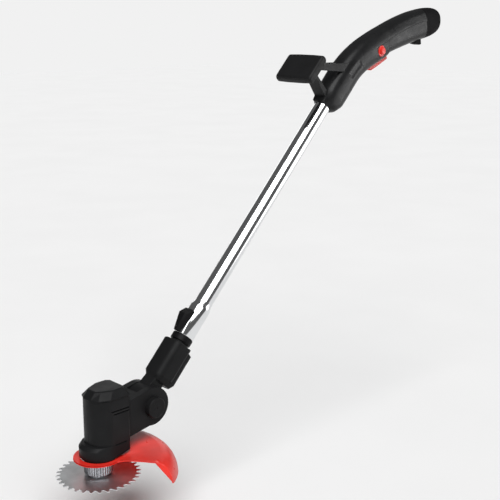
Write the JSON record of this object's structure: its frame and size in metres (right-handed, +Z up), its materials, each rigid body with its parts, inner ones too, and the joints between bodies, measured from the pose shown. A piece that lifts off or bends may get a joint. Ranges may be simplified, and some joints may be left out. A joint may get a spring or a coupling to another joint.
{
  "type": "lawn edger",
  "caption": "Cordless lawn edger: curved battery handle with a front grip, chromed shaft, tilting motor head, toothed blade and red guard.",
  "frame": {"origin": "middle of the rear grip, where the hand holds the handle", "axes": "+X from the head towards the user, +Y to the side away from the tilt button, +Z up with the blade level"},
  "size_m": [1.0582, 0.2253, 0.8218],
  "materials": {
    "handle_plastic": "satin black",
    "tail_plastic": "satin black",
    "grip_rubber": "soft matt black",
    "bracket_plastic": "satin black",
    "yoke_plastic": "satin black",
    "head_plastic": "satin black",
    "knob_plastic": "satin black",
    "latch_plastic": "matt black",
    "collar_plastic": "satin black",
    "red_plastic": "semi-gloss red",
    "chrome_tube": "mirror chrome",
    "plain_steel": "plain",
    "knurled_steel": "knurled",
    "blade_steel": "ground",
    "winding_copper": "lacquered copper",
    "cell_wrap": "shrink wrap",
    "circuit_board": "solder mask",
    "insert_plastic": "matt black",
    "lead_jacket": "matt black"
  },
  "bodies": {
    "handle": {"handle_left_shell": "handle_plastic", "handle_right_shell": "handle_plastic", "battery_tail_cap": "tail_plastic", "battery_cell_1": "cell_wrap", "battery_cell_2": "cell_wrap", "battery_cell_3": "cell_wrap", "battery_board": "circuit_board", "trigger_pin": "plain_steel", "trigger_switch": "insert_plastic", "trigger_spring": "plain_steel", "lock_off_spring": "plain_steel", "battery_catch_spring": "plain_steel", "front_grip_pad": "grip_rubber", "front_grip_bracket": "bracket_plastic", "shaft_tube": "chrome_tube", "socket_collar": "collar_plastic", "plug_spigot": "yoke_plastic", "plug_contacts": "insert_plastic", "power_lead": "lead_jacket", "yoke_front_shell": "yoke_plastic", "yoke_rear_cover": "yoke_plastic"},
    "trigger": {"trigger": "red_plastic"},
    "lock_off": {"lock_off_button": "red_plastic"},
    "catch": {"battery_catch": "tail_plastic"},
    "latch": {"latch_rocker": "latch_plastic"},
    "head": {"motor_body_left": "head_plastic", "motor_body_right": "head_plastic", "motor_top_cap": "head_plastic", "motor_base": "head_plastic", "motor_can": "plain_steel", "spindle_bearing": "plain_steel", "blade_guard": "red_plastic", "guard_screw_1": "plain_steel", "guard_screw_2": "plain_steel", "guard_screw_3": "plain_steel", "tilt_pin": "plain_steel", "tilt_spring": "plain_steel"},
    "tilt_release": {"tilt_button": "knob_plastic"},
    "spindle": {"spindle_shaft": "plain_steel", "motor_rotor": "winding_copper", "knurled_flange": "knurled_steel", "inner_washer": "plain_steel", "outer_washer": "plain_steel", "blade_nut": "plain_steel", "saw_blade": "blade_steel"}
  },
  "joints": [
    {"name": "head_tilt", "type": "hinge", "parent": "handle", "child": "head", "pos_m": [-0.731, 0, -0.6503], "axis": [0, 1, 0], "range_deg": [-44, 44]},
    {"name": "spindle_spin", "type": "hinge", "parent": "head", "child": "spindle", "pos_m": [-0.835, 0, -0.754], "axis": [0, 0, 1], "continuous": true},
    {"name": "tilt_button_press", "type": "slide", "parent": "head", "child": "tilt_release", "axis": [0, 1, 0], "range_m": [0, 0.004], "stiffness_N_per_m": 900, "springref_m": -0.002, "deforming": ["tilt_spring"]},
    {"name": "trigger_squeeze", "type": "hinge", "parent": "handle", "child": "trigger", "pos_m": [-0.11242, 0, -0.06643], "axis": [0, -1, 0], "range_deg": [0, 6], "stiffness_Nm_per_rad": 2, "springref_deg": -5.73, "deforming": ["trigger_spring"]},
    {"name": "lock_off_press", "type": "slide", "parent": "handle", "child": "lock_off", "axis": [0, 1, 0], "range_m": [0, 0.004], "stiffness_N_per_m": 600, "springref_m": -0.002, "deforming": ["lock_off_spring"]},
    {"name": "battery_catch_press", "type": "slide", "parent": "handle", "child": "catch", "axis": [-0.1842, 0, 0.9829], "range_m": [0, 0.0025], "stiffness_N_per_m": 800, "springref_m": -0.002, "deforming": ["battery_catch_spring"]},
    {"name": "latch_rock", "type": "hinge", "parent": "handle", "child": "latch", "pos_m": [-0.63354, 0, -0.51388], "axis": [0, 1, 0], "range_deg": [0, 4], "stiffness_Nm_per_rad": 2, "springref_deg": -5.73}
  ]
}
